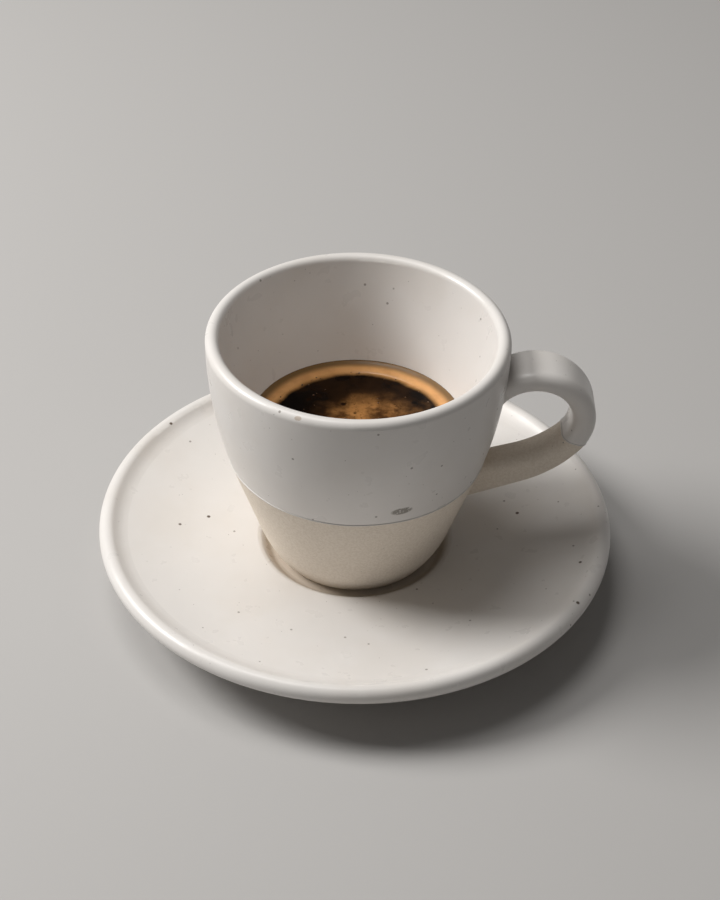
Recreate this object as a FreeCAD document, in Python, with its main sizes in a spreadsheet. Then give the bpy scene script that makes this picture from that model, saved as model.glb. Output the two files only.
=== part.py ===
import FreeCAD, Part

import os
import re
from math import asin, atan2, cos, degrees, hypot, radians, sin, sqrt

import Sketcher

# An espresso cup on its saucer, with the shot in it. Millimetres, +Z up.
# The origin is the middle of the saucer's base, and the handle points along +X.

DOC = FreeCAD.newDocument("espresso_shot")
SHEET = DOC.addObject("Spreadsheet::Sheet", "Sizes")

# Heights in the saucer's block are from the table, and all the others from the cup's foot.
# A sweep is the radius of a long gentle arc, a lean or slope is in degrees.
# The bead's drop is from the dish's arc down to the bead's middle, the loop's stand-off is from the
# rim to the loop's middle, and an arm's fall is how far its face passes below its own round.
SIZES = {
    # saucer
    "saucer_radius": 58.0,
    "bead_round": 2.05,
    "bead_drop": 1.232,
    "seam_round": 8.0,
    "dish_sweep": 150.0,
    "dish_slope": 2.9,
    "under_sweep": 130.0,
    "well_floor_height": 6.5,
    "well_depth": 2.3,
    "well_radius": 21.8,
    "well_floor_radius": 19.3,
    "well_round": 1.6,
    "ring_radius": 30.0,
    "ring_width": 4.0,
    "ring_recess": 2.0,
    "ring_height": 4.6,
    "ring_round": 0.9,
    # cup
    "cup_height": 58.1,
    "rim_radius": 32.5,
    "lip_round": 1.52,
    "upper_sweep": 99.0,
    "cone_radius": 22.2,
    "cone_height": 9.5,
    "foot_radius": 17.1,
    "foot_round": 1.8,
    "foot_ring_width": 3.9,
    "foot_recess": 1.2,
    "wall_lean": 14.8,
    "bowl_round": 13.4,
    "bowl_floor_height": 6.0,
    # handle
    "loop_radius": 13.3,
    "loop_stand_off": 6.0,
    "loop_drop": 6.7,
    "loop_root_rise": 3.4,
    "gap_radius": 8.1,
    "gap_lift": 0.5,
    "arm_outer_sweep": 28.0,
    "arm_outer_fall": 2.4,
    "arm_outer_slope": 22.0,
    "arm_inner_sweep": 24.0,
    "arm_inner_fall": 1.6,
    "arm_inner_slope": 16.0,
    "handle_top_width": 12.0,
    "handle_arm_width": 8.0,
    "handle_round": 2.2,
    "root_inset": 1.3,
    # drink
    "drink_level": 33.5,
    "drink_gap": 0.05,
    "crema_width": 3.8,
    "crema_thickness": 0.35,
    "crema_climb": 0.75,
}

FULL_TURN = 360.0
EDGE_MATCH = 0.02


def fill_sheet():
    for row, (alias, value) in enumerate(SIZES.items(), start=1):
        SHEET.set(f"A{row}", alias)
        SHEET.set(f"B{row}", str(value))
        SHEET.setAlias(f"B{row}", alias)
    DOC.recompute()


def size(formula):
    """The value of a formula in the sheet's aliases, used to draw a sketch near its solution."""
    value = SHEET.evalExpression(formula)
    return getattr(value, "Value", value)


def tied(formula):
    """The same formula as the document reads it, with each alias looked up in the sheet."""
    return re.sub("[a-z_]+", lambda word: ("Sizes." if word[0] in SIZES else "") + word[0], formula)


class Outline:
    """A closed outline in a sketch, drawn end to end, whose points and radii are tied to the sheet."""

    def __init__(self, body, name, plane="XZ_Plane"):
        self.sketch = body.newObject("Sketcher::SketchObject", name)
        origin_plane = [o for o in body.Origin.OriginFeatures if o.Role == plane][0]
        self.sketch.AttachmentSupport = (origin_plane, [""])
        self.sketch.MapMode = "FlatFace"

    def line(self, start, end):
        piece = Part.LineSegment(FreeCAD.Vector(*start, 0), FreeCAD.Vector(*end, 0))
        return self.sketch.addGeometry(piece)

    def arc(self, centre, radius, first, last):
        """An arc drawn counter-clockwise between two angles in degrees."""
        circle = Part.Circle(FreeCAD.Vector(*centre, 0), FreeCAD.Vector(0, 0, 1), radius)
        return self.sketch.addGeometry(Part.ArcOfCircle(circle, radians(first), radians(last)))

    def rule(self, *words):
        return self.sketch.addConstraint(Sketcher.Constraint(*words))

    def bound(self, words, formula):
        """A rule whose value follows a formula in the sheet's aliases."""
        index = self.rule(*words, size(formula))
        self.sketch.setExpression(f"Constraints[{index}]", tied(formula))

    def pin(self, piece, end, across=None, up=None):
        """Ties one end of a piece to a distance across and up; a zero is on the axis itself."""
        for formula, word, axis in ((across, "DistanceX", -2), (up, "DistanceY", -1)):
            if formula == "0":
                self.rule("PointOnObject", piece, end, axis)
            elif formula:
                self.bound((word, -1, 1, piece, end), formula)

    def round_to(self, arc, formula):
        self.bound(("Radius", arc), formula)

    def lean(self, line, formula):
        """The angle of a line above the horizontal, from its start to its end."""
        index = self.rule("Angle", line, radians(size(formula)))
        self.sketch.setExpression(f"Constraints[{index}]", f"({tied(formula)}) * 1 deg")

    def meet(self, first, first_end, second, second_end, smooth=False):
        self.rule("Tangent" if smooth else "Coincident", first, first_end, second, second_end)


START, END, CENTRE = 1, 2, 3
UPRIGHT = "90 - wall_lean"
LIP_HEIGHT = "(cup_height - lip_round)"


def wall_radius(height, gap="0"):
    """The formula for the radius of the cup's inner wall at a height, less a gap from the wall."""
    return (
        f"rim_radius - lip_round - (lip_round + {gap}) / cos(wall_lean * 1 deg)"
        f" - ({LIP_HEIGHT} - ({height})) * tan(wall_lean * 1 deg)"
    )


def new_body(name):
    return DOC.addObject("PartDesign::Body", name)


def turn(body, outline, name):
    """Turns an outline about the upright axis."""
    revolution = body.newObject("PartDesign::Revolution", name)
    revolution.Profile = outline.sketch
    revolution.ReferenceAxis = (outline.sketch, ["V_Axis"])
    revolution.Angle = FULL_TURN
    outline.sketch.Visibility = False
    DOC.recompute()
    return revolution


def ring_edges(feature, is_wanted):
    """The names of a turned piece's level rings whose radius and height pass a test."""
    names = []
    for index, edge in enumerate(feature.Shape.Edges, start=1):
        first, half = edge.FirstParameter, (edge.FirstParameter + edge.LastParameter) / 2
        spots = [(hypot(spot.x, spot.y), spot.z) for spot in (edge.valueAt(first), edge.valueAt(half))]
        level = hypot(spots[0][0] - spots[1][0], spots[0][1] - spots[1][1]) < EDGE_MATCH
        if level and is_wanted(*spots[0]):
            names.append(f"Edge{index}")
    return names


def at(radius, height):
    """The test for a ring at one radius and height."""
    return lambda r, z: hypot(r - size(radius), z - size(height)) < EDGE_MATCH


def round_edges(body, base, name, radius, is_wanted):
    fillet = body.newObject("PartDesign::Fillet", name)
    fillet.Base = (base, ring_edges(base, is_wanted))
    fillet.setExpression("Radius", tied(radius))
    DOC.recompute()
    return fillet


def bowl_lines(drawing, gap, top):
    """Draws the cup's inside from the axis up to a height, set in by a gap; returns its pieces."""
    lean = radians(size("wall_lean"))
    radius = size(f"bowl_round - {gap}")
    floor = size(f"bowl_floor_height + {gap}")
    middle_up = floor + radius
    middle_out = size(wall_radius(str(middle_up), gap)) - radius / cos(lean)
    wall_start = (middle_out + radius * cos(lean), middle_up - radius * sin(lean))
    floor_line = drawing.line((0, floor), (middle_out, floor))
    bowl = drawing.arc((middle_out, middle_up), radius, -90, -degrees(lean))
    wall = drawing.line(wall_start, (size(wall_radius(top, gap)), size(top)))
    drawing.pin(floor_line, START, "0", f"bowl_floor_height + {gap}")
    drawing.rule("Horizontal", floor_line)
    drawing.meet(floor_line, END, bowl, START, smooth=True)
    drawing.round_to(bowl, f"bowl_round - {gap}")
    drawing.meet(bowl, END, wall, START, smooth=True)
    drawing.lean(wall, UPRIGHT)
    return floor_line, wall


def cup_shell():
    """The turned wall of the cup: a foot ring, a flared base, a cone, a gentle upper sweep and a lip."""
    body = new_body("cup_shell")
    drawing = Outline(body, "cup_outline")
    floor_line, wall = bowl_lines(drawing, "0", f"{LIP_HEIGHT} + lip_round * sin(wall_lean * 1 deg)")

    lip = size("lip_round")
    rim = (size("rim_radius"), size(LIP_HEIGHT))
    sweep = size("upper_sweep")
    foot = (size("foot_radius"), 0.0)
    cone = (size("cone_radius"), size("cone_height"))
    lean = size("wall_lean")

    # where the cone's line touches the upper sweep
    middle = (rim[0] - sweep, rim[1])
    away = (middle[0] - cone[0], middle[1] - cone[1])
    reach = hypot(*away)
    touch_length = sqrt(reach**2 - sweep**2)
    turned = asin(sweep / reach)
    along = (
        (away[0] * cos(turned) + away[1] * sin(turned)) / reach,
        (away[1] * cos(turned) - away[0] * sin(turned)) / reach,
    )
    touch = (cone[0] + along[0] * touch_length, cone[1] + along[1] * touch_length)

    # the flare's arc runs from the foot to the cone and leaves it along the cone
    chord = (cone[0] - foot[0], cone[1] - foot[1])
    half_turn = asin((chord[0] * along[1] - chord[1] * along[0]) / hypot(*chord))
    flare_radius = hypot(*chord) / (2 * sin(half_turn))
    flare_middle = (cone[0] - flare_radius * along[1], cone[1] + flare_radius * along[0])
    flare_last = degrees(asin((cone[1] - flare_middle[1]) / flare_radius))

    inner = size("foot_radius - foot_ring_width")
    recess = size("foot_recess")
    ceiling = drawing.line((0, recess), (inner, recess))
    inside = drawing.line((inner, recess), (inner, 0))
    sole = drawing.line((inner, 0), foot)
    flare = drawing.arc(flare_middle, flare_radius, flare_last - 2 * degrees(half_turn), flare_last)
    side = drawing.line(cone, touch)
    upper = drawing.arc(middle, sweep, degrees(asin((touch[1] - rim[1]) / sweep)), 0)
    rim_arc = drawing.arc((rim[0] - lip, rim[1]), lip, 0, 180 - lean)
    axis = drawing.line((0, recess), (0, size("bowl_floor_height")))

    drawing.pin(ceiling, START, "0", "foot_recess")
    drawing.rule("Horizontal", ceiling)
    drawing.meet(ceiling, END, inside, START)
    drawing.rule("Vertical", inside)
    drawing.meet(inside, END, sole, START)
    drawing.pin(sole, START, "foot_radius - foot_ring_width", "0")
    drawing.pin(sole, END, "foot_radius", "0")
    drawing.meet(sole, END, flare, START)
    drawing.meet(flare, END, side, START, smooth=True)
    drawing.pin(side, START, "cone_radius", "cone_height")
    drawing.meet(side, END, upper, START, smooth=True)
    drawing.round_to(upper, "upper_sweep")
    drawing.pin(upper, END, "rim_radius", LIP_HEIGHT)
    drawing.rule("Horizontal", upper, CENTRE, upper, END)
    drawing.meet(upper, END, rim_arc, START, smooth=True)
    drawing.round_to(rim_arc, "lip_round")
    drawing.meet(rim_arc, END, wall, END, smooth=True)
    drawing.meet(axis, START, ceiling, START)
    drawing.meet(axis, END, floor_line, START)

    shell = turn(body, drawing, "cup_turned")
    round_edges(body, shell, "foot_rounding", "foot_round", at("foot_radius", "0"))
    return body


LOOP_MIDDLE = "(rim_radius + loop_stand_off)"
REACH = f"({LOOP_MIDDLE} + loop_radius)"
LOOP_HEIGHT = "(cup_height - loop_drop - loop_radius)"
GAP_HEIGHT = f"({LOOP_HEIGHT} + gap_lift)"
OUTER_FALL = "loop_radius + arm_outer_fall"
INNER_FALL = "gap_radius + arm_inner_fall"
LOOP_ROOT = f"({wall_radius('cup_height - loop_drop')} + root_inset)"
ARM_ROOT = f"({wall_radius(LOOP_HEIGHT + ' - loop_radius')} + root_inset)"


def arm_face(drawing, centre_height, radius, sweep, fall, slope):
    """Draws one face of the handle, outer or inner: the arm's straight run up from the cup, a long
    sweep and the loop's round; the run passes a set fall below the round's middle."""
    middle = (size(LOOP_MIDDLE), size(centre_height))
    round_radius, sweep_radius = size(radius), size(sweep)
    rise = radians(size(slope))
    spread = sweep_radius - round_radius
    handover = rise + asin((size(fall) - sweep_radius) / spread)
    sweep_middle = (middle[0] - spread * cos(handover), middle[1] - spread * sin(handover))
    touch = (sweep_middle[0] + sweep_radius * sin(rise), sweep_middle[1] - sweep_radius * cos(rise))
    root = size(ARM_ROOT)
    root_height = touch[1] - (touch[0] - root) * sin(rise) / cos(rise)

    run = drawing.line((root, root_height), touch)
    bend = drawing.arc(sweep_middle, sweep_radius, degrees(rise) - 90, degrees(handover))
    drawing.lean(run, slope)
    drawing.pin(run, START, ARM_ROOT)
    drawing.meet(run, END, bend, START, smooth=True)
    drawing.round_to(bend, sweep)
    return middle, round_radius, handover, run, bend


def handle_side(body):
    """The handle seen from the side: a round loop whose arm runs back down to the cup."""
    drawing = Outline(body, "handle_outline")
    root = size(LOOP_ROOT)
    rise = size(f"{GAP_HEIGHT} + loop_root_rise")

    middle, radius, handover, outer_run, outer_bend = arm_face(
        drawing, LOOP_HEIGHT, "loop_radius", "arm_outer_sweep", OUTER_FALL, "arm_outer_slope"
    )
    top = 180 - degrees(asin(sqrt(1 - ((root - middle[0]) / radius) ** 2)))
    outer = drawing.arc(middle, radius, degrees(handover), top)
    drawing.meet(outer_bend, END, outer, START, smooth=True)
    drawing.round_to(outer, "loop_radius")
    drawing.pin(outer, CENTRE, LOOP_MIDDLE, LOOP_HEIGHT)
    drawing.pin(outer, END, LOOP_ROOT)

    middle, radius, handover, inner_run, inner_bend = arm_face(
        drawing, GAP_HEIGHT, "gap_radius", "arm_inner_sweep", INNER_FALL, "arm_inner_slope"
    )
    last = 180 - degrees(asin((rise - middle[1]) / radius))
    inner = drawing.arc(middle, radius, degrees(handover), last)
    drawing.meet(inner_bend, END, inner, START, smooth=True)
    drawing.round_to(inner, "gap_radius")
    drawing.pin(inner, CENTRE, LOOP_MIDDLE, GAP_HEIGHT)
    drawing.pin(inner, END, None, f"{GAP_HEIGHT} + loop_root_rise")

    for run, centre, fall in ((outer_run, outer, OUTER_FALL), (inner_run, inner, INNER_FALL)):
        drawing.bound(("Distance", centre, CENTRE, run), fall)

    ledge = drawing.line((root, rise), (middle[0] - radius * cos(radians(180 - last)), rise))
    back = drawing.line((root, rise), (root, middle[1] + radius))
    end = drawing.line((size(ARM_ROOT), middle[1] - 2 * radius), (size(ARM_ROOT), middle[1] - radius))
    drawing.rule("Horizontal", ledge)
    drawing.rule("Vertical", back)
    drawing.meet(ledge, START, back, START)
    drawing.meet(ledge, END, inner, END)
    drawing.meet(back, END, outer, END)
    drawing.meet(end, START, outer_run, START)
    drawing.meet(end, END, inner_run, START)
    return drawing


def pad_both_ways(body, outline, name, length):
    """Extrudes an outline by half a length to each side of its plane."""
    pad = body.newObject("PartDesign::Pad", name)
    pad.Profile = outline.sketch
    pad.Midplane = True
    pad.setExpression("Length", tied(length))
    outline.sketch.Visibility = False
    DOC.recompute()


def handle_taper(body):
    """The handle seen from its end: wide at the top of the loop and narrow at the arm."""
    drawing = Outline(body, "taper_outline", "YZ_Plane")
    low = f"({LOOP_HEIGHT} - 2 * loop_radius)"
    high = f"({LOOP_HEIGHT} + 2 * loop_radius)"
    # the wedge runs a loop's radius past the loop both ways, so half the narrowing is added at each end
    narrowing = "(handle_top_width - handle_arm_width) / 2"
    low_half = f"(handle_arm_width - {narrowing}) / 2"
    high_half = f"(handle_top_width + {narrowing}) / 2"
    corners = [(f"-({low_half})", low), (low_half, low), (high_half, high), (f"-({high_half})", high)]
    places = [(size(across), size(up)) for across, up in corners]
    sides = [drawing.line(places[i], places[(i + 1) % len(places)]) for i in range(len(places))]
    for index, (side, (across, up)) in enumerate(zip(sides, corners)):
        drawing.pin(side, START, across, up)
        drawing.meet(side, END, sides[(index + 1) % len(sides)], START)
    return drawing


def long_edges(shape):
    """The numbers of the handle's long edges: those that don't bound its hidden root."""
    roots = [(0, size(LOOP_ROOT)), (0, size(ARM_ROOT)), (2, size(f"{GAP_HEIGHT} + loop_root_rise"))]
    numbers = []
    for number, edge in enumerate(shape.Edges, start=1):
        middle = edge.valueAt((edge.FirstParameter + edge.LastParameter) / 2)
        on_root = any(abs(middle[axis] - place) < EDGE_MATCH for axis, place in roots)
        if abs(middle.y) > EDGE_MATCH and not on_root:
            numbers.append(number)
    return numbers


def handle():
    """The strap: its side outline made wide, narrowed towards the arm, with all long edges rounded."""
    blank = new_body("handle_blank")
    pad_both_ways(blank, handle_side(blank), "handle_pad", "handle_top_width * 2")
    taper = new_body("handle_wedge")
    pad_both_ways(taper, handle_taper(taper), "taper_pad", f"3 * {REACH}")
    strap = DOC.addObject("Part::MultiCommon", "handle_strap")
    strap.Shapes = [blank, taper]
    DOC.recompute()
    rounded = DOC.addObject("Part::Fillet", "handle_rounded")
    rounded.Base = strap
    radius = size("handle_round")
    rounded.Edges = [(number, radius, radius) for number in long_edges(strap.Shape)]
    DOC.recompute()
    return rounded


def on_saucer(piece, label):
    """Gives a finished piece its name and stands it on the floor of the saucer's well."""
    piece.Label = label
    piece.setExpression("Placement.Base.z", tied("well_floor_height"))
    return piece


def cup():
    """The cup with its handle, one piece of stoneware."""
    joined = DOC.addObject("Part::MultiFuse", "cup_with_handle")
    joined.Shapes = [cup_shell(), handle()]
    return on_saucer(joined, "cup")


def corner(first, first_distance, second, second_distance):
    """The point at set distances from two others, on the left of the way from first to second."""
    away = (second[0] - first[0], second[1] - first[1])
    apart = hypot(*away)
    along = (apart**2 + first_distance**2 - second_distance**2) / (2 * apart)
    aside = sqrt(first_distance**2 - along**2)
    return (
        first[0] + (away[0] * along - away[1] * aside) / apart,
        first[1] + (away[1] * along + away[0] * aside) / apart,
    )


def bearing(centre, point):
    """The direction from a centre to a point, in degrees."""
    return degrees(atan2(point[1] - centre[1], point[0] - centre[0]))


DISH_MIDDLE_OUT = "well_radius - dish_sweep * sin(dish_slope * 1 deg)"
DISH_MIDDLE_UP = "well_floor_height + well_depth + dish_sweep * cos(dish_slope * 1 deg)"
BEAD_OUT = "saucer_radius - bead_round"
BEAD_UP = (
    f"{DISH_MIDDLE_UP} - bead_drop"
    f" - sqrt(dish_sweep ^ 2 - ({BEAD_OUT} - ({DISH_MIDDLE_OUT})) ^ 2)"
)


def saucer():
    """A shallow dish with a beaded rim, a round well for the cup and a foot ring."""
    body = new_body("saucer_body")
    body.Label = "saucer"
    drawing = Outline(body, "saucer_outline")
    floor, ring, recess = size("well_floor_height"), size("ring_radius"), size("ring_recess")
    inner, ring_height = size("ring_radius - ring_width"), size("ring_height")
    well_edge = (size("well_radius"), size("well_floor_height + well_depth"))
    well_foot = (size("well_floor_radius"), floor)
    bead, bead_round = (size(BEAD_OUT), size(BEAD_UP)), size("bead_round")
    dish, dish_radius = (size(DISH_MIDDLE_OUT), size(DISH_MIDDLE_UP)), size("dish_sweep")
    under_radius, seam_round = size("under_sweep"), size("seam_round")
    under = corner((ring, ring_height), under_radius, bead, under_radius - bead_round)
    seam = corner(bead, bead_round + seam_round, dish, dish_radius - seam_round)

    floor_line = drawing.line((0, floor), well_foot)
    wall = drawing.line(well_foot, well_edge)
    dish_arc = drawing.arc(dish, dish_radius, bearing(dish, well_edge), bearing(dish, seam))
    seam_arc = drawing.arc(seam, seam_round, bearing(dish, seam), bearing(seam, bead))
    bead_last = 180 + bearing(seam, bead)
    bead_arc = drawing.arc(bead, bead_round, bearing(under, bead), bead_last)
    under_arc = drawing.arc(under, under_radius, bearing(under, (ring, ring_height)), bearing(under, bead))
    outside = drawing.line((ring, 0), (ring, ring_height))
    sole = drawing.line((inner, 0), (ring, 0))
    inside = drawing.line((inner, recess), (inner, 0))
    ceiling = drawing.line((0, recess), (inner, recess))
    axis = drawing.line((0, recess), (0, floor))

    drawing.pin(floor_line, START, "0", "well_floor_height")
    drawing.pin(floor_line, END, "well_floor_radius", "well_floor_height")
    drawing.meet(floor_line, END, wall, START)
    drawing.pin(wall, END, "well_radius", "well_floor_height + well_depth")
    drawing.meet(wall, END, dish_arc, START)
    drawing.pin(dish_arc, CENTRE, DISH_MIDDLE_OUT, DISH_MIDDLE_UP)
    drawing.meet(dish_arc, END, seam_arc, START, smooth=True)
    drawing.round_to(seam_arc, "seam_round")
    drawing.meet(seam_arc, END, bead_arc, END, smooth=True)
    drawing.round_to(bead_arc, "bead_round")
    drawing.pin(bead_arc, CENTRE, BEAD_OUT, BEAD_UP)
    drawing.meet(bead_arc, START, under_arc, END, smooth=True)
    drawing.round_to(under_arc, "under_sweep")
    drawing.pin(under_arc, START, "ring_radius", "ring_height")
    drawing.meet(under_arc, START, outside, END)
    drawing.pin(outside, START, "ring_radius", "0")
    drawing.meet(outside, START, sole, END)
    drawing.pin(sole, START, "ring_radius - ring_width", "0")
    drawing.meet(sole, START, inside, END)
    drawing.rule("Vertical", inside)
    drawing.meet(inside, START, ceiling, END)
    drawing.rule("Horizontal", ceiling)
    drawing.pin(ceiling, START, "0", "ring_recess")
    drawing.meet(ceiling, START, axis, START)
    drawing.meet(axis, END, floor_line, START)
    turned = turn(body, drawing, "saucer_turned")

    at_foot = at("well_floor_radius", "well_floor_height")
    at_edge = at("well_radius", "well_floor_height + well_depth")
    welled = round_edges(
        body, turned, "well_rounding", "well_round", lambda r, z: at_foot(r, z) or at_edge(r, z)
    )
    round_edges(body, welled, "ring_rounding", "ring_round", lambda r, z: abs(z) < EDGE_MATCH)
    return body


def espresso():
    """The drink up to its level, a small gap inside the cup's wall."""
    body = new_body("espresso_body")
    drawing = Outline(body, "drink_outline")
    floor_line, wall = bowl_lines(drawing, "drink_gap", "drink_level")
    level = size("drink_level")
    edge = size(wall_radius("drink_level", "drink_gap"))
    surface = drawing.line((edge, level), (0, level))
    axis = drawing.line((0, level), (0, size("bowl_floor_height + drink_gap")))
    drawing.pin(wall, END, wall_radius("drink_level", "drink_gap"), "drink_level")
    drawing.meet(wall, END, surface, START)
    drawing.rule("Horizontal", surface)
    drawing.pin(surface, END, "0")
    drawing.meet(surface, END, axis, START)
    drawing.meet(axis, END, floor_line, START)
    turn(body, drawing, "drink_turned")
    return on_saucer(body, "espresso")


def crema():
    """The ring of foam on the drink, thin at its inner edge and climbing a little up the wall."""
    body = new_body("crema_body")
    drawing = Outline(body, "crema_outline")
    level = size("drink_level")
    outer_edge = wall_radius("drink_level", "drink_gap")
    climb_edge = wall_radius("drink_level + crema_climb", "drink_gap")
    inner = size(f"{outer_edge} - crema_width")
    thin = (inner, size("drink_level + crema_thickness"))
    climbed = (size(climb_edge), size("drink_level + crema_climb"))
    width, rise = climbed[0] - thin[0], climbed[1] - thin[1]
    radius = (width**2 + rise**2) / (2 * rise)

    base = drawing.line((inner, level), (size(outer_edge), level))
    wall = drawing.line((size(outer_edge), level), climbed)
    top = drawing.arc((thin[0], thin[1] + radius), radius, -90, degrees(asin(width / radius)) - 90)
    inside = drawing.line(thin, (inner, level))
    drawing.pin(base, START, f"{outer_edge} - crema_width", "drink_level")
    drawing.pin(base, END, outer_edge, "drink_level")
    drawing.meet(base, END, wall, START)
    drawing.pin(wall, END, climb_edge, "drink_level + crema_climb")
    drawing.meet(wall, END, top, END)
    drawing.pin(top, START, None, "drink_level + crema_thickness")
    drawing.rule("Vertical", top, CENTRE, top, START)
    drawing.meet(top, START, inside, START)
    drawing.rule("Vertical", inside)
    drawing.meet(inside, END, base, START)
    turn(body, drawing, "crema_turned")
    return on_saucer(body, "crema")


def check():
    failed = [o.Label for o in DOC.Objects if {"Invalid", "Error"} & set(o.State)]
    if failed:
        raise RuntimeError(f"these objects failed: {failed}")
    for piece in PIECES:
        if piece.Shape.isNull() or not piece.Shape.isValid() or len(piece.Shape.Solids) != 1:
            raise RuntimeError(f"{piece.Label} is not one sound solid")
        print(piece.Label, round(piece.Shape.Volume / 1000.0, 2), "cubic centimetres")


fill_sheet()
PIECES = [saucer(), cup(), espresso(), crema()]
DOC.recompute()
check()
os.makedirs("parts", exist_ok=True)
for piece in PIECES:
    piece.Shape.exportStep(f"parts/{piece.Label}.step")
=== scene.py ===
# %% [markdown]
# # An espresso shot in its cup and saucer
#
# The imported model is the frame: it has the saucer, the cup, the drink and the ring of crema where
# they belong, in metres. The saucer and the cup have their true shape there, so they stay and get
# glaze and clay. The drink and its crema are built again here, because they need a finer surface.

import random
from math import atan2, cos, hypot, pi, radians, sin

import bmesh
import bpy
from mathutils import Matrix, Vector


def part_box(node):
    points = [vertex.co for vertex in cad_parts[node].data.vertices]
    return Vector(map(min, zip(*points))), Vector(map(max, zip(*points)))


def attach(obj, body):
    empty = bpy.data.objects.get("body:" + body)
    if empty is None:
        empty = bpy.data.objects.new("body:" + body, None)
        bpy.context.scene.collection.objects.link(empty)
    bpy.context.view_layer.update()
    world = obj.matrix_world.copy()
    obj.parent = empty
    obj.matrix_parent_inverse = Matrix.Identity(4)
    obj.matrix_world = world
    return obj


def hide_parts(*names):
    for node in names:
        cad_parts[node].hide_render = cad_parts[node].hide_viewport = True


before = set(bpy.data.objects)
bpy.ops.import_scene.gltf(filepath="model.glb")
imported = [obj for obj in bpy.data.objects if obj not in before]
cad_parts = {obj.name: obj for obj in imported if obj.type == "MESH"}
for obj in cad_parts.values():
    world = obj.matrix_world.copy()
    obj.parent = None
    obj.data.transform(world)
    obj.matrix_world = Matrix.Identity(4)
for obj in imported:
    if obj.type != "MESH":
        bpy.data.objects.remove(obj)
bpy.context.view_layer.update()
MM = 0.001
print("nodes:", sorted(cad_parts))

# %% [markdown]
# ## Measures read from the frame
#
# Every place below is worked out from the boxes of the four nodes, so that the looks follow the
# model if it changes. The cup's wall leans outwards, so the drink is widest at its level.

# %% Measures
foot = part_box("cup")[0].z
drink_low, drink_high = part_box("espresso")
crema_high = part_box("crema")[1]
level, drink_radius, crema_top = drink_high.z, drink_high.x, crema_high.z
print(f"foot {foot / MM:.2f}, drink level {level / MM:.2f}, drink radius {drink_radius / MM:.2f} mm")

# %% [markdown]
# ## Helpers for shader nodes
#
# A material is a small graph of nodes. These helpers add one node each, and give back the socket
# that the next node reads, so that a graph reads like a sum on paper.


# %% Node helpers
def add(tree, kind, inputs, **settings):
    """Adds a node; an input is a plain value, or a socket to read from."""
    made = tree.nodes.new(kind)
    for name, value in settings.items():
        setattr(made, name, value)
    for key, value in inputs.items():
        if isinstance(value, bpy.types.NodeSocket):
            tree.links.new(value, made.inputs[key])
        else:
            made.inputs[key].default_value = value
    return made


def sum_of(tree, operation, first, second=0.0, third=0.0):
    inputs = {0: first, 1: second, 2: third}
    return add(tree, "ShaderNodeMath", inputs, operation=operation).outputs[0]


def fade(tree, value, start, end, low=0.0, high=1.0):
    """Goes smoothly from low to high while the value goes from start to end."""
    inputs = {"Value": value, "From Min": start, "From Max": end, "To Min": low, "To Max": high}
    ramp = add(tree, "ShaderNodeMapRange", inputs, interpolation_type="SMOOTHSTEP")
    return ramp.outputs["Result"]


def mixed(tree, share, first, second):
    """One colour where the share is 0 and the other where it is 1."""
    inputs = {0: share, 6: first, 7: second}
    return add(tree, "ShaderNodeMix", inputs, data_type="RGBA").outputs[2]


def noise(tree, place, size, detail=3.0, roughness=0.5):
    """Cloudy noise from about 0.3 to 0.7, whose clouds are about one size across, in metres."""
    inputs = {"Vector": place, "Scale": 1 / size, "Detail": detail, "Roughness": roughness}
    return add(tree, "ShaderNodeTexNoise", inputs).outputs["Fac"]


def new_group(name, inputs, outputs):
    """An empty node group; gives the group, its input sockets and its output sockets."""
    group = bpy.data.node_groups.new(name, "ShaderNodeTree")
    for socket, (kind, value) in inputs.items():
        made = group.interface.new_socket(socket, in_out="INPUT", socket_type=kind)
        if value is not None:
            made.default_value = value
    for socket, kind in outputs.items():
        group.interface.new_socket(socket, in_out="OUTPUT", socket_type=kind)
    return group, group.nodes.new("NodeGroupInput").outputs, group.nodes.new("NodeGroupOutput").inputs


def use_group(tree, group, inputs):
    """Places a group in a tree; gives the group's outputs."""
    return add(tree, "ShaderNodeGroup", inputs, node_tree=group).outputs


def new_material(name, **plain):
    """A material with one Principled shader, whose plain sockets are set here."""
    material = bpy.data.materials.new(name)
    material.use_nodes = True
    tree = material.node_tree
    shader = tree.nodes["Principled BSDF"]
    for socket, value in plain.items():
        shader.inputs[socket.replace("_", " ")].default_value = value
    place = tree.nodes.new("ShaderNodeTexCoord").outputs["Object"]
    return material, tree, shader, place


def relief(tree, shader, height, depth):
    """Turns a height from 0 to 1 into bumps of a depth in metres."""
    inputs = {"Height": height, "Distance": depth, "Strength": 1.0}
    bump = add(tree, "ShaderNodeBump", inputs)
    tree.links.new(bump.outputs["Normal"], shader.inputs["Normal"])


print("node helpers ready")

# %% [markdown]
# ## Iron specks
#
# Iron grains in the clay melt through the glaze as small brown dots, far apart and of all sizes. A
# Voronoi texture puts one point in each cell of space. The surface cuts only the points that lie
# close to it, and cuts each at its own depth, which scatters the dots and varies them for free.

# %% Specks group
specks, given, out = new_group(
    "iron_specks",
    {
        "Vector": ("NodeSocketVector", None),
        "Spacing": ("NodeSocketFloat", 6 * MM),
        "Radius": ("NodeSocketFloat", 0.35 * MM),
    },
    {"Mask": "NodeSocketFloat"},
)
per_metre = sum_of(specks, "DIVIDE", 1.0, given["Spacing"])
cells = add(specks, "ShaderNodeTexVoronoi", {"Vector": given["Vector"], "Scale": per_metre})
reach = sum_of(specks, "MULTIPLY", given["Radius"], per_metre)
specks.links.new(
    fade(specks, cells.outputs["Distance"], reach, sum_of(specks, "MULTIPLY", reach, 0.55)), out["Mask"]
)
print("group:", specks.name)

# %% [markdown]
# ## The glaze
#
# The glaze is a thick off-white one with a satin shine. It isn't one flat colour: it is a little
# warmer where it is thin. The cup, its glazed edge and the saucer all wear it, so it is a group.

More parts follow.
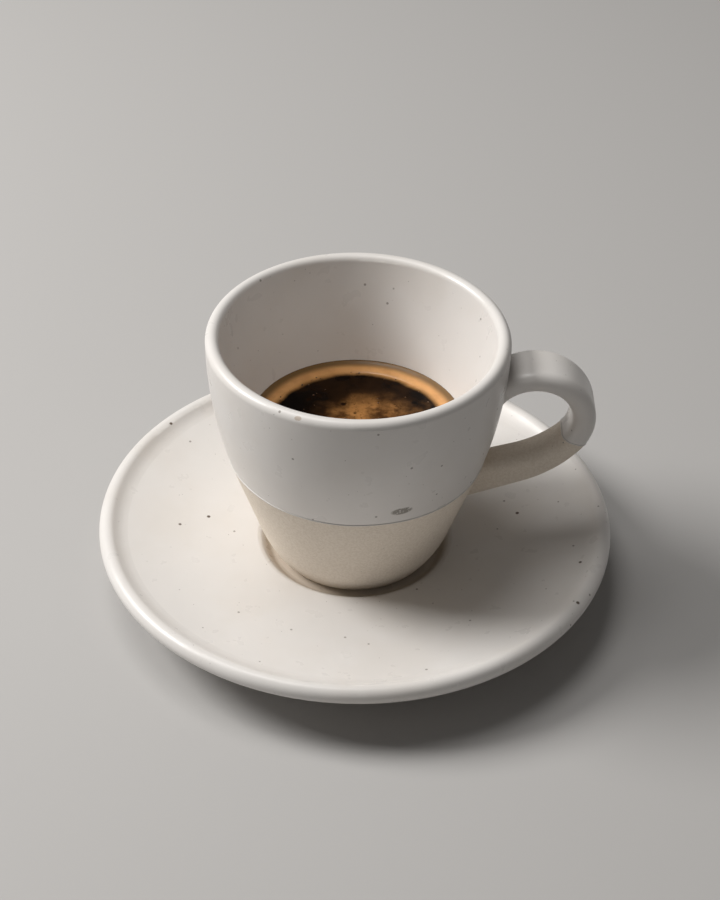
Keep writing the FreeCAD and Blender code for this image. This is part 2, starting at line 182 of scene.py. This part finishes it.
# %% Glaze group
GLAZE = (0.80, 0.773, 0.745, 1.0)
THIN_GLAZE = (0.755, 0.715, 0.67, 1.0)
IRON = (0.09, 0.055, 0.035, 1.0)
SPECK_SIZES = (
    # spacing and radius in metres, and how dark
    (9.5 * MM, 0.52 * MM, 0.95),
    (5.2 * MM, 0.36 * MM, 0.62),
    (2.9 * MM, 0.15 * MM, 0.50),
)

glaze, given, out = new_group(
    "satin_glaze",
    {"Vector": ("NodeSocketVector", None)},
    {"Color": "NodeSocketColor", "Roughness": "NodeSocketFloat", "Height": "NodeSocketFloat"},
)
place = given["Vector"]
clouds = noise(glaze, place, 16 * MM)
thin = fade(glaze, clouds, 0.42, 0.68, 0.0, 0.45)
dots = 0.0
for spacing, radius, darkness in SPECK_SIZES:
    sizes = {"Vector": place, "Spacing": spacing, "Radius": radius}
    layer = sum_of(glaze, "MULTIPLY", use_group(glaze, specks, sizes)["Mask"], darkness)
    dots = sum_of(glaze, "MAXIMUM", dots, layer)
glaze.links.new(mixed(glaze, dots, mixed(glaze, thin, GLAZE, THIN_GLAZE), IRON), out["Color"])
glaze.links.new(fade(glaze, noise(glaze, place, 5 * MM), 0.3, 0.7, 0.27, 0.39), out["Roughness"])
ripple = noise(glaze, place, 4.5 * MM, detail=0.0)
glaze.links.new(sum_of(glaze, "SUBTRACT", ripple, sum_of(glaze, "MULTIPLY", dots, 0.3)), out["Height"])
print("group:", glaze.name)

# %% [markdown]
# ## Where the glaze stops
#
# The cup was dipped upside down, so the glaze covers its upper part and ends in a line about half
# way up. Below it the clay is bare. The line is almost level but not quite, as a hand-held dip is.
# The handle went in at a slant, so its line falls outwards, and its lower arm is bare too. The
# same rule is needed twice, as a sum in Python for the raised edge and as nodes for the colours.

# %% The glaze line
GLAZE_LINE = foot + 28.65 * MM
WOBBLES = (
    # waves in a turn round the cup, their height in metres, and the angle where they start
    (2, 0.20 * MM, 0.4),
    (5, 0.11 * MM, 2.1),
    (11, 0.05 * MM, 4.0),
)
HANDLE_START = 33.5 * MM
HANDLE_LINE_REACH = 45.0 * MM
HANDLE_LINE_HEIGHT = foot + 33.6 * MM
HANDLE_LINE_FALL = 0.33


def glaze_line(x, y):
    """The height of the line in metres above a place."""
    if x > HANDLE_START:
        return HANDLE_LINE_HEIGHT - HANDLE_LINE_FALL * (x - HANDLE_LINE_REACH)
    angle = atan2(y, x)
    return GLAZE_LINE + sum(size * sin(turns * angle + start) for turns, size, start in WOBBLES)


def glaze_line_nodes(tree, place):
    """The height above the line, as nodes."""
    parts = add(tree, "ShaderNodeSeparateXYZ", {0: place}).outputs
    x, y, z = parts["X"], parts["Y"], parts["Z"]
    angle = sum_of(tree, "ARCTAN2", y, x)
    round_line = GLAZE_LINE
    for turns, size, start in WOBBLES:
        wave = sum_of(tree, "SINE", sum_of(tree, "MULTIPLY_ADD", angle, turns, start))
        round_line = sum_of(tree, "MULTIPLY_ADD", wave, size, round_line)
    handle_top = HANDLE_LINE_HEIGHT + HANDLE_LINE_FALL * HANDLE_LINE_REACH
    handle_line = sum_of(tree, "MULTIPLY_ADD", x, -HANDLE_LINE_FALL, handle_top)
    on_handle = sum_of(tree, "GREATER_THAN", x, HANDLE_START)
    step = sum_of(tree, "MULTIPLY", on_handle, sum_of(tree, "SUBTRACT", handle_line, round_line))
    return sum_of(tree, "SUBTRACT", z, sum_of(tree, "ADD", round_line, step))


print(f"line at the front {(glaze_line(0, -0.028) - foot) / MM:.2f} mm above the foot")

# %% [markdown]
# ## The cup's material
#
# Glaze above the line and bare clay below. The clay is warmer and quite matt, with a fine sandy
# grain and a few dark grains, and dark dots just under the line that are painted shade in small
# pits. Two small marks are part of how this cup looks: a grey smudge just above the line, and a
# faint brown trace of coffee on the lip.

# %% Cup material
CUP_RELIEF = 0.045 * MM
CLAY_ROUGHNESS = 0.82
GRAIN_HEIGHT = 1.6
CLAY = (0.88, 0.795, 0.69, 1.0)
SANDY_CLAY = (0.78, 0.69, 0.58, 1.0)
SMUDGE = (0.30, 0.28, 0.25, 1.0)
STAIN = (0.45, 0.34, 0.24, 1.0)
SMUDGE_PLACE = (9.8 * MM, -27.8 * MM, foot + 32.3 * MM)
SMUDGE_REACH = (2.7 * MM, 2.4 * MM, 1.25 * MM)
STAIN_PLACE = (-11.7 * MM, -29.9 * MM, foot + 57.6 * MM)
STAIN_REACH = (0.9 * MM, 0.7 * MM, 0.5 * MM)


def mark(tree, place, middle, reach, grain, solid):
    """A patchy spot round a place; solid is how much of it is filled, from 0 to 1."""
    away = add(tree, "ShaderNodeVectorMath", {0: place, 1: middle}, operation="SUBTRACT").outputs[0]
    scaled = add(tree, "ShaderNodeVectorMath", {0: away, 1: reach}, operation="DIVIDE").outputs[0]
    distance = add(tree, "ShaderNodeVectorMath", {0: scaled}, operation="LENGTH").outputs["Value"]
    patches = fade(tree, noise(tree, place, grain, detail=4.0), 0.62 - 0.25 * solid, 0.50 - 0.25 * solid)
    return sum_of(tree, "MULTIPLY", fade(tree, distance, 1.0, 0.7), sum_of(tree, "SUBTRACT", 1.0, patches))


cup_glaze, tree, shader, place = new_material("cup_glaze_and_clay", Specular_IOR_Level=0.5)
above = glaze_line_nodes(tree, place)
glazed = fade(tree, above, -0.06 * MM, 0.06 * MM)
glaze_look = use_group(tree, glaze, {"Vector": place})
grain = noise(tree, place, 0.55 * MM, detail=5.0, roughness=0.7)
clay_colour = mixed(tree, fade(tree, grain, 0.35, 0.68), CLAY, SANDY_CLAY)
grains = use_group(tree, specks, {"Vector": place, "Spacing": 2.2 * MM, "Radius": 0.12 * MM})["Mask"]
# painted shade: dark dots in a band just under the glaze line stand in for the shade inside small pits
pit_shade = use_group(tree, specks, {"Vector": place, "Spacing": 2.6 * MM, "Radius": 0.3 * MM})["Mask"]
under_line = sum_of(
    tree, "MULTIPLY", fade(tree, above, -1.1 * MM, -0.6 * MM), fade(tree, above, -0.1 * MM, -0.4 * MM)
)
# real dark grains, together with the painted shade in the pits
dark_grains_and_pit_shade = sum_of(
    tree, "MAXIMUM", sum_of(tree, "MULTIPLY", grains, 0.5), sum_of(tree, "MULTIPLY", pit_shade, under_line)
)
clay_colour = mixed(tree, dark_grains_and_pit_shade, clay_colour, IRON)
smudge = mark(tree, place, SMUDGE_PLACE, SMUDGE_REACH, 0.6 * MM, 0.55)
stain = mark(tree, place, STAIN_PLACE, STAIN_REACH, 0.4 * MM, 0.8)
glaze_colour = mixed(tree, smudge, glaze_look["Color"], SMUDGE)
glaze_colour = mixed(tree, sum_of(tree, "MULTIPLY", stain, 0.6), glaze_colour, STAIN)
tree.links.new(mixed(tree, glazed, clay_colour, glaze_colour), shader.inputs["Base Color"])
clay_to_glaze = add(tree, "ShaderNodeMix", {0: glazed, 2: CLAY_ROUGHNESS, 3: glaze_look["Roughness"]})
tree.links.new(clay_to_glaze.outputs[0], shader.inputs["Roughness"])
clay_height = sum_of(tree, "MULTIPLY", grain, GRAIN_HEIGHT)
heights = add(tree, "ShaderNodeMix", {0: glazed, 2: clay_height, 3: glaze_look["Height"]})
relief(tree, shader, heights.outputs[0], CUP_RELIEF)


def dress(piece, material):
    piece.data.materials.clear()
    piece.data.materials.append(material)


dress(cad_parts["cup"], cup_glaze)
print("cup:", cup_glaze.name)

# %% [markdown]
# ## The raised edge of the glaze
#
# Glaze is a fraction of a millimetre thick, and where it stops it rolls into a rounded edge. A
# cut through a copy of the cup gives the path, all round the wall and the handle: with the line's
# height taken off each vertex first, the wavy line is a flat cut. A thin tube follows that path,
# half sunk in the wall. It could be a bump in the material, but an edge that catches light from
# every side has to be real.

# %% Glaze edge
EDGE_RADIUS = 0.15 * MM
EDGE_STEP = 0.45 * MM
INNER_WALL = 26.5 * MM


def finish_piece(piece, body, slot, *nodes):
    """Smooth shading, the body the piece hangs from, and hiding the nodes it stands in for."""
    for face in piece.data.polygons:
        face.use_smooth = True
    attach(piece, body)
    if nodes:
        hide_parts(*nodes)
    print(f"{piece.name}: {len(piece.data.polygons)} faces")


def new_piece(name, mesh_maker, material):
    """Makes an object at the origin from a bmesh, and gives it its material."""
    mesh = bpy.data.meshes.new(name)
    mesh_maker.to_mesh(mesh)
    mesh_maker.free()
    piece = bpy.data.objects.new(name, mesh)
    bpy.context.scene.collection.objects.link(piece)
    dress(piece, material)
    return piece


cut = bmesh.new()
cut.from_mesh(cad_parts["cup"].data)
bmesh.ops.remove_doubles(cut, verts=cut.verts, dist=0.001 * MM)
for vertex in cut.verts:
    vertex.co.z -= glaze_line(vertex.co.x, vertex.co.y)
everything = cut.verts[:] + cut.edges[:] + cut.faces[:]
bmesh.ops.bisect_plane(
    cut, geom=everything, dist=0, plane_co=(0, 0, 0), plane_no=(0, 0, 1), clear_inner=True, clear_outer=True
)
inside = [v for v in cut.verts if hypot(v.co.x, v.co.y) < INNER_WALL]
bmesh.ops.delete(cut, geom=inside, context="VERTS")
bmesh.ops.remove_doubles(cut, verts=cut.verts, dist=EDGE_STEP)
for vertex in cut.verts:
    vertex.co.z += glaze_line(vertex.co.x, vertex.co.y)

edge_look, tree, shader, place = new_material("glaze_edge", Specular_IOR_Level=0.5)
glaze_look = use_group(tree, glaze, {"Vector": place})
tree.links.new(glaze_look["Color"], shader.inputs["Base Color"])
tree.links.new(glaze_look["Roughness"], shader.inputs["Roughness"])

path = new_piece("glaze_edge", cut, edge_look)
bpy.ops.object.select_all(action="DESELECT")
bpy.context.view_layer.objects.active = path
path.select_set(True)
bpy.ops.object.convert(target="CURVE")
path = bpy.context.view_layer.objects.active
path.data.bevel_depth = EDGE_RADIUS
path.data.bevel_resolution = 2
bpy.ops.object.convert(target="MESH")
glaze_edge = bpy.context.view_layer.objects.active
glaze_edge.name = "glaze_edge"
dress(glaze_edge, edge_look)
finish_piece(glaze_edge, "root", "stoneware_glaze")

# %% [markdown]
# ## The saucer's material
#
# The saucer wears the same glaze. Only its well is painted browner and darker, as painted warm
# shade in the recess where the cup's bare foot stands, and the colours mix over a narrow ring just
# inside the well's edge.

# %% Saucer material
WELL_RADIUS = 21.5 * MM
SAUCER_RELIEF = 0.04 * MM
# painted shade: the well's browner, darker colour stands in for the warm shade in its recess
WELL_SHADE = (0.58, 0.50, 0.41, 1.0)

saucer_glaze, tree, shader, place = new_material("saucer_glaze", Specular_IOR_Level=0.5)
glaze_look = use_group(tree, glaze, {"Vector": place})
parts = add(tree, "ShaderNodeSeparateXYZ", {0: place}).outputs
flat = add(tree, "ShaderNodeCombineXYZ", {0: parts["X"], 1: parts["Y"]}).outputs[0]
from_middle = add(tree, "ShaderNodeVectorMath", {0: flat}, operation="LENGTH").outputs["Value"]
# painted shade of the well, mixed in over a narrow ring inside its edge
painted_well_shade = fade(tree, from_middle, WELL_RADIUS, WELL_RADIUS - 1.5 * MM, 0.0, 0.85)
tree.links.new(mixed(tree, painted_well_shade, glaze_look["Color"], WELL_SHADE), shader.inputs["Base Color"])
tree.links.new(glaze_look["Roughness"], shader.inputs["Roughness"])
relief(tree, shader, glaze_look["Height"], SAUCER_RELIEF)
dress(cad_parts["saucer"], saucer_glaze)
print("saucer:", saucer_glaze.name)

# %% [markdown]
# ## How the shot looks from above
#
# A fresh shot has three zones. Against the wall is a ring of golden crema, olive where it is thin
# on the glaze. Inside it is a band where the dark coffee shows, almost black. In the middle floats
# a mottled patch of thin foam, with dark holes in it. The ring and the drink are two pieces, so
# one group colours both, and the pattern runs on without a seam.

# %% Shot group
OLIVE = (0.19, 0.105, 0.038, 1.0)
GOLD = (0.72, 0.37, 0.135, 1.0)
FOAM = (0.40, 0.185, 0.058, 1.0)
BROWN = (0.055, 0.022, 0.006, 1.0)
COFFEE = (0.0022, 0.0009, 0.0005, 1.0)
RING_WIDTH = 3.7 * MM
PATCH_RADIUS = 14.5 * MM
PATCH_MIDDLE = (2.4 * MM, 0.5 * MM, level)
HOLES = (
    # place across and along, and radius, in millimetres
    (-0.5, 4.2, 0.85),
    (-3.0, 7.5, 0.75),
    (-7.7, 9.6, 1.7),
    (-5.5, 13.0, 1.5),
    (12.6, 8.8, 1.1),
    (6.5, -3.0, 0.7),
    (-8.5, -4.5, 1.3),
    (1.5, -10.0, 0.9),
)

shot, given, out = new_group(
    "shot_from_above",
    {"Vector": ("NodeSocketVector", None)},
    {"Color": "NodeSocketColor", "Roughness": "NodeSocketFloat", "Height": "NodeSocketFloat"},
)
place = given["Vector"]
parts = add(shot, "ShaderNodeSeparateXYZ", {0: place}).outputs
flat = add(shot, "ShaderNodeCombineXYZ", {0: parts["X"], 1: parts["Y"], 2: level}).outputs[0]


def distance_from(tree, place, middle):
    away = add(tree, "ShaderNodeVectorMath", {0: place, 1: middle}, operation="DISTANCE")
    return away.outputs["Value"]


wide = noise(shot, flat, 9 * MM, detail=4.0, roughness=0.6)
fine = noise(shot, flat, 0.9 * MM, detail=4.0, roughness=0.65)
froth = noise(shot, flat, 4.2 * MM, detail=5.0, roughness=0.55)

from_middle = distance_from(shot, flat, (0, 0, level))
ragged = sum_of(shot, "MULTIPLY_ADD", sum_of(shot, "SUBTRACT", wide, 0.5), 2.2 * MM, from_middle)
ring_start = drink_radius - RING_WIDTH
ring = fade(shot, ragged, ring_start - 1.5 * MM, ring_start + 0.6 * MM)
olive = fade(shot, from_middle, drink_radius - 2.3 * MM, drink_radius - 0.5 * MM)

from_patch = distance_from(shot, flat, PATCH_MIDDLE)
patch_edge = sum_of(shot, "MULTIPLY_ADD", sum_of(shot, "SUBTRACT", wide, 0.5), 15 * MM, from_patch)
patch = fade(shot, patch_edge, PATCH_RADIUS, PATCH_RADIUS - 11 * MM)
for x, y, radius in HOLES:
    to_hole = distance_from(shot, flat, (x * MM, y * MM, level))
    rough_edge = sum_of(shot, "MULTIPLY_ADD", sum_of(shot, "SUBTRACT", froth, 0.5), 3 * MM, to_hole)
    open_foam = fade(shot, rough_edge, 0.35 * radius * MM, 1.15 * radius * MM)
    patch = sum_of(shot, "MULTIPLY", patch, open_foam)
lit_foam = fade(shot, froth, 0.30, 0.66)
patch_colour = mixed(shot, lit_foam, BROWN, FOAM)
speckle = fade(shot, fine, 0.56, 0.70, 0.0, 0.75)
patch_colour = mixed(shot, speckle, patch_colour, BROWN)

brown_film = fade(shot, wide, 0.40, 0.66, 0.0, 0.30)
liquid = mixed(shot, brown_film, COFFEE, BROWN)
inner = mixed(shot, patch, liquid, patch_colour)
ring_colour = mixed(shot, fade(shot, froth, 0.35, 0.7, 0.0, 0.4), GOLD, FOAM)
ring_colour = mixed(shot, olive, ring_colour, OLIVE)
shot.links.new(mixed(shot, ring, inner, ring_colour), out["Color"])
foam = sum_of(shot, "MAXIMUM", ring, patch)
shot.links.new(fade(shot, foam, 0.0, 1.0, 0.12, 0.20), out["Roughness"])
shot.links.new(sum_of(shot, "MULTIPLY", foam, sum_of(shot, "ADD", fine, froth)), out["Height"])


def shot_material(name, depth, shine):
    material, tree, shader, place = new_material(name, Specular_IOR_Level=shine)
    look = use_group(tree, shot, {"Vector": place})
    tree.links.new(look["Color"], shader.inputs["Base Color"])
    tree.links.new(look["Roughness"], shader.inputs["Roughness"])
    relief(tree, shader, look["Height"], depth)
    return material


coffee_look = shot_material("coffee_with_foam", 0.03 * MM, 0.06)
crema_look = shot_material("crema", 0.015 * MM, 0.4)
print("group:", shot.name)

# %% [markdown]
# ## The drink
#
# Coffee fills the cup's bowl up to its level. One outline from the bottom to the surface, turned
# about the cup's axis, makes it, and the turn is the natural tool for anything poured in a round
# cup. It reaches a little way into the wall, so that no dark line of air shows round it.

# %% Drink
INTO_WALL = 0.15 * MM
TURN_STEPS = 128
SURFACE_RINGS = 24
BOWL_SHARE = ((0.0, 0.0), (0.38, 0.0), (0.60, 0.05), (0.72, 0.20), (0.78, 0.36), (1.0, 1.0))


def turned(points):
    """A closed mesh from an outline of (radius, height) turned about the axis."""
    maker = bmesh.new()
    verts = [maker.verts.new((radius, 0, height)) for radius, height in points]
    edges = [maker.edges.new(pair) for pair in zip(verts, verts[1:])]
    bmesh.ops.spin(
        maker,
        geom=verts + edges,
        cent=(0, 0, 0),
        axis=(0, 0, 1),
        angle=2 * pi,
        steps=TURN_STEPS,
        use_merge=True,
        use_duplicate=False,
    )
    bmesh.ops.remove_doubles(maker, verts=maker.verts, dist=0.0005 * MM)
    bmesh.ops.recalc_face_normals(maker, faces=maker.faces)
    return maker


depth = level - drink_low.z
rim = drink_radius + INTO_WALL
outline = [(share * rim, drink_low.z + rise * depth) for share, rise in BOWL_SHARE]
outline += [(rim * (1 - step / SURFACE_RINGS), level) for step in range(1, SURFACE_RINGS + 1)]
coffee = new_piece("coffee", turned(outline), coffee_look)
finish_piece(coffee, "root", "coffee", "espresso")

# %% [markdown]
# ## The ring of crema
#
# The foam is thin at its inner edge, swells to a soft lip, and climbs the wall as a meniscus. One
# outline with that curve, turned about the axis, makes it.

# %% Crema
LIP = 0.30 * MM
SINK = 0.10 * MM
climb = crema_top - level
inner_edge = drink_radius - RING_WIDTH
ring_foot = (inner_edge - 0.2 * MM, level - SINK)
crema_outline = [
    ring_foot,
    (inner_edge, level + 0.02 * MM),
    (inner_edge + 0.35 * MM, level + 0.45 * LIP),
    (inner_edge + 0.9 * MM, level + 0.8 * LIP),
    (inner_edge + 1.7 * MM, level + 0.9 * LIP),
    (drink_radius - 1.2 * MM, level + 1.0 * LIP),
    (drink_radius - 0.6 * MM, level + 0.60 * climb),
    (drink_radius - 0.15 * MM, level + 0.84 * climb),
    (crema_high.x + INTO_WALL / 2, crema_top),
    (drink_radius + INTO_WALL, level - SINK),
    ring_foot,
]
crema = new_piece("crema_ring", turned(crema_outline), crema_look)
finish_piece(crema, "root", "crema_foam", "crema")

# %% [markdown]
# ## Bubbles
#
# Small bubbles collect where the foam meets the coffee. They are low domes, many and tiny, so each
# has few faces. Their places come from a seeded draw, so every run makes the same ones.

# %% Bubbles
BUBBLE_COUNT = 70
NEAR_RING_SHARE = 0.55
BUBBLE_FILM, BUBBLE_SHEEN = (0.035, 0.014, 0.004, 1.0), (0.12, 0.055, 0.018, 1.0)
draw = random.Random(7)
bubbles = bmesh.new()
for _ in range(BUBBLE_COUNT):
    angle = draw.uniform(0, 2 * pi)
    near_ring = draw.random() < NEAR_RING_SHARE
    out_to = draw.gauss(inner_edge - 0.5 * MM, 0.5 * MM) if near_ring else draw.uniform(3 * MM, 15 * MM)
    radius = draw.uniform(0.09, 0.26) * MM
    middle = Vector((out_to * cos(angle), out_to * sin(angle), level))
    flatten = Matrix.Diagonal((1, 1, 0.5, 1))
    bmesh.ops.create_icosphere(
        bubbles, subdivisions=2, radius=radius, matrix=Matrix.Translation(middle) @ flatten
    )
bubble_look, tree, shader, place = new_material(
    "bubble_film", Roughness=0.3, Specular_IOR_Level=0.2
)
sheen = noise(tree, place, 0.8 * MM)
tree.links.new(
    mixed(tree, fade(tree, sheen, 0.4, 0.6), BUBBLE_FILM, BUBBLE_SHEEN),
    shader.inputs["Base Color"],
)
foam_bubbles = new_piece("foam_bubbles", bubbles, bubble_look)
finish_piece(foam_bubbles, "root", "crema_foam")

# %% [markdown]
# ## Floor, light and camera
#
# A plain pale floor, a soft light from the left and a little behind, a weaker one nearly overhead,
# and a weak even light from all round. The light from the left gives the cup's shadow on the saucer
# and the bright right wall inside it. The camera looks down, a little tilted, with a long lens.

# %% Floor
floor_maker = bmesh.new()
bmesh.ops.create_grid(floor_maker, x_segments=1, y_segments=1, size=3.0)
floor_look, tree, shader, place = new_material("floor", Base_Color=(0.50, 0.49, 0.48, 1.0), Roughness=0.7)
floor = new_piece("floor", floor_maker, floor_look)

# %% Light
AMBIENT = 0.10
LAMPS = {
    # name: bearing and height in degrees, size in metres, power in watts
    "window": (169, 43, 0.42, 8.6),
    "overhead": (150, 74, 0.50, 2.9),
}


def add_lamp(name, bearing, height, across, power):
    """A round soft lamp a metre from the cup, turned towards it."""
    lamp = bpy.data.lights.new(name, "AREA")
    lamp.shape, lamp.size, lamp.energy = "DISK", across, power
    lamp.color = (1.0, 0.985, 0.965)
    lit = bpy.data.objects.new(name, lamp)
    bpy.context.scene.collection.objects.link(lit)
    level_part = cos(radians(height))
    towards = Vector(
        (cos(radians(bearing)) * level_part, sin(radians(bearing)) * level_part, sin(radians(height)))
    )
    lit.location = towards
    lit.rotation_euler = towards.to_track_quat("Z", "Y").to_euler()
    print(f"{name}: {power} W from {bearing} degrees")


for name, facts in LAMPS.items():
    add_lamp(name, *facts)

world = bpy.data.worlds.new("studio")
world.use_nodes = True
sky = world.node_tree.nodes["Background"].inputs
sky["Color"].default_value, sky["Strength"].default_value = (1.0, 0.97, 0.94, 1.0), AMBIENT
bpy.context.scene.world = world
bpy.context.scene.view_settings.view_transform = "Standard"

# %% Camera
CAMERA_PLACE = (0.81 * MM, -330.0 * MM, 292.2 * MM)
CAMERA_DOWN = radians(38.155)
CAMERA_ROLL = radians(1.143)
LENS = 75.68

view = bpy.data.cameras.new("camera")
view.lens = LENS
camera = bpy.data.objects.new("camera", view)
bpy.context.scene.collection.objects.link(camera)
tilt = Matrix.Rotation(pi / 2 - CAMERA_DOWN, 4, "X") @ Matrix.Rotation(CAMERA_ROLL, 4, "Z")
camera.matrix_world = Matrix.Translation(CAMERA_PLACE) @ tilt
bpy.context.scene.camera = camera
